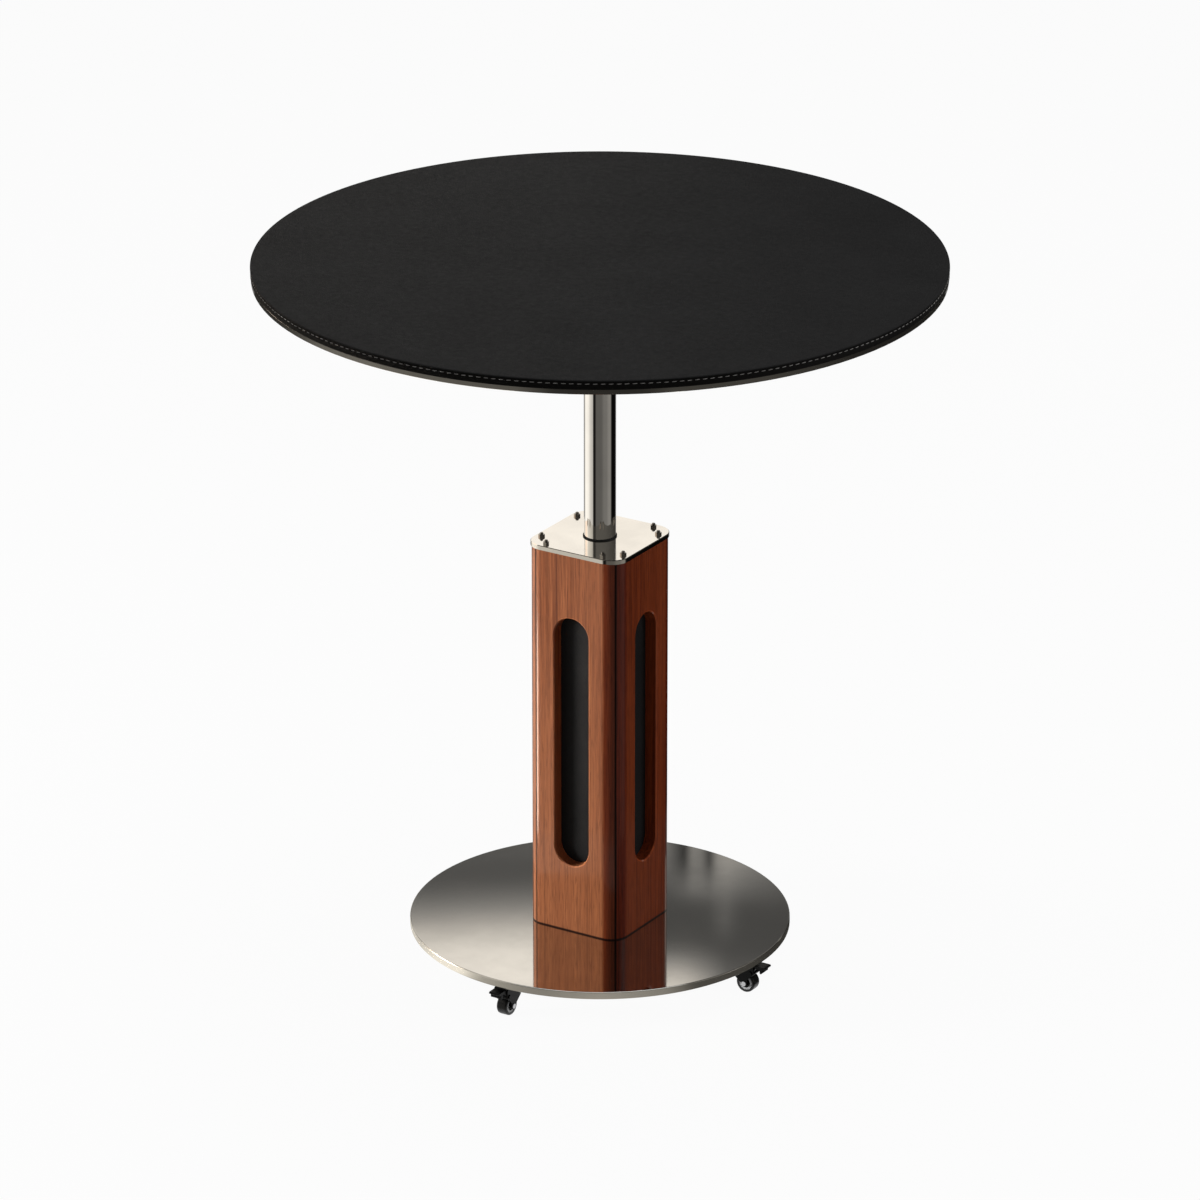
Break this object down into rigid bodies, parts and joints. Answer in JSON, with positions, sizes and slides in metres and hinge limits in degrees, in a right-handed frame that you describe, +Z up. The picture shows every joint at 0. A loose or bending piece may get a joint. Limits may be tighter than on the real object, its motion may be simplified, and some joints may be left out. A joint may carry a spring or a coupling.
{
  "type": "lift-top side table",
  "caption": "Round leather-covered side table on a gas-lift pole, with a slotted square walnut column and a polished disc base on braked casters.",
  "frame": {"origin": "on the pole's axis at floor level, under the middle of the base", "axes": "+Z up along the pole; the column's faces look along -Y (front), +X (right), +Y (back) and -X (left); the release lever points along +X"},
  "size_m": [0.5999, 0.6, 0.65],
  "materials": {
    "bearing_steel": "ground",
    "black_metal": "black, semi-matt",
    "black_panel": "matt black laminate",
    "black_plastic": "matt",
    "board": "raw",
    "grey_core": "satin silver-grey",
    "insert_leather": "matt, fine grain",
    "mirror_steel": "mirror polished",
    "polished_steel": "polished",
    "rubber": "matt",
    "top_leather": "matt, fine grain",
    "tyre": "matt",
    "walnut": "satin lacquer",
    "zinc_steel": "zinc plated"
  },
  "bodies": {
    "base": {"base_disc": "polished_steel", "panel_front": "walnut", "panel_right": "walnut", "panel_back": "walnut", "panel_left": "walnut", "insert_front": "insert_leather", "insert_right": "insert_leather", "insert_back": "insert_leather", "insert_left": "insert_leather", "top_plate": "polished_steel", "plate_studs": "zinc_steel", "plate_nuts": "zinc_steel", "panel_screws": "zinc_steel", "lift_tube": "zinc_steel", "flange_screws": "zinc_steel", "lower_race": "bearing_steel", "guide_bush": "black_plastic", "pole_wiper": "rubber", "caster_plates": "black_metal", "caster_screws": "zinc_steel"},
    "rod": {"piston_rod": "mirror_steel", "piston": "black_plastic", "ball_cage": "bearing_steel", "upper_race": "bearing_steel", "rubber_bumper": "rubber", "rod_clip": "zinc_steel"},
    "tabletop": {"gas_cylinder": "mirror_steel", "rod_gland": "black_plastic", "top_board": "board", "top_leather": "top_leather", "edge_leather": "top_leather", "rim_hoop": "polished_steel", "under_panel": "black_panel", "hub_mount": "black_metal", "hub_screws": "zinc_steel", "lever_pin": "zinc_steel"},
    "lever": {"release_lever": "black_metal", "lever_grip": "rubber"},
    "button": {"valve_button": "zinc_steel"},
    "front_caster": {"front_fork": "black_metal", "front_pins": "zinc_steel"},
    "front_roller": {"front_wheel": "grey_core", "front_tyre": "tyre"},
    "front_brake": {"front_pedal": "black_plastic"},
    "right_caster": {"right_fork": "black_metal", "right_pins": "zinc_steel"},
    "right_roller": {"right_wheel": "grey_core", "right_tyre": "tyre"},
    "right_brake": {"right_pedal": "black_plastic"},
    "back_caster": {"back_fork": "black_metal", "back_pins": "zinc_steel"},
    "back_roller": {"back_wheel": "grey_core", "back_tyre": "tyre"},
    "back_brake": {"back_pedal": "black_plastic"},
    "left_caster": {"left_fork": "black_metal", "left_pins": "zinc_steel"},
    "left_roller": {"left_wheel": "grey_core", "left_tyre": "tyre"},
    "left_brake": {"left_pedal": "black_plastic"}
  },
  "joints": [
    {"name": "top_turn", "type": "hinge", "parent": "base", "child": "rod", "pos_m": [0, 0, 0.055], "axis": [0, 0, 1], "continuous": true},
    {"name": "top_lift", "type": "slide", "parent": "rod", "child": "tabletop", "axis": [0, 0, 1], "range_m": [-0.18, 0]},
    {"name": "lever_lift", "type": "hinge", "parent": "tabletop", "child": "lever", "pos_m": [0.036, 0, 0.6278], "axis": [0, -1, 0], "range_deg": [0, 5], "stiffness_Nm_per_rad": 6},
    {"name": "button_press", "type": "slide", "parent": "tabletop", "child": "button", "axis": [0, 0, 1], "range_m": [-0.0032, 0]},
    {"name": "front_swivel", "type": "hinge", "parent": "base", "child": "front_caster", "pos_m": [0, -0.1455, 0.027], "axis": [0, 0, 1], "continuous": true},
    {"name": "front_roll", "type": "hinge", "parent": "front_caster", "child": "front_roller", "pos_m": [0, -0.1535, 0.009], "axis": [1, 0, 0], "continuous": true},
    {"name": "front_lock", "type": "hinge", "parent": "front_caster", "child": "front_brake", "pos_m": [0, -0.15958, 0.01998], "axis": [1, 0, 0], "range_deg": [0, 15]},
    {"name": "right_swivel", "type": "hinge", "parent": "base", "child": "right_caster", "pos_m": [0.1455, 0, 0.027], "axis": [0, 0, 1], "continuous": true},
    {"name": "right_roll", "type": "hinge", "parent": "right_caster", "child": "right_roller", "pos_m": [0.1535, 0, 0.009], "axis": [0, 1, 0], "continuous": true},
    {"name": "right_lock", "type": "hinge", "parent": "right_caster", "child": "right_brake", "pos_m": [0.15958, 0, 0.01998], "axis": [0, 1, 0], "range_deg": [0, 15]},
    {"name": "back_swivel", "type": "hinge", "parent": "base", "child": "back_caster", "pos_m": [0, 0.1455, 0.027], "axis": [0, 0, 1], "continuous": true},
    {"name": "back_roll", "type": "hinge", "parent": "back_caster", "child": "back_roller", "pos_m": [0, 0.1535, 0.009], "axis": [-1, 0, 0], "continuous": true},
    {"name": "back_lock", "type": "hinge", "parent": "back_caster", "child": "back_brake", "pos_m": [0, 0.15958, 0.01998], "axis": [-1, 0, 0], "range_deg": [0, 15]},
    {"name": "left_swivel", "type": "hinge", "parent": "base", "child": "left_caster", "pos_m": [-0.1455, 0, 0.027], "axis": [0, 0, 1], "continuous": true},
    {"name": "left_roll", "type": "hinge", "parent": "left_caster", "child": "left_roller", "pos_m": [-0.14824, 0.00752, 0.009], "axis": [-0.9397, -0.342, 0], "continuous": true},
    {"name": "left_lock", "type": "hinge", "parent": "left_caster", "child": "left_brake", "pos_m": [-0.15032, 0.01324, 0.01998], "axis": [-0.9397, -0.342, 0], "range_deg": [0, 15]}
  ],
  "couplings": [
    {"joint": "button_press", "follows": "lever_lift", "m_per_rad": -0.036}
  ]
}
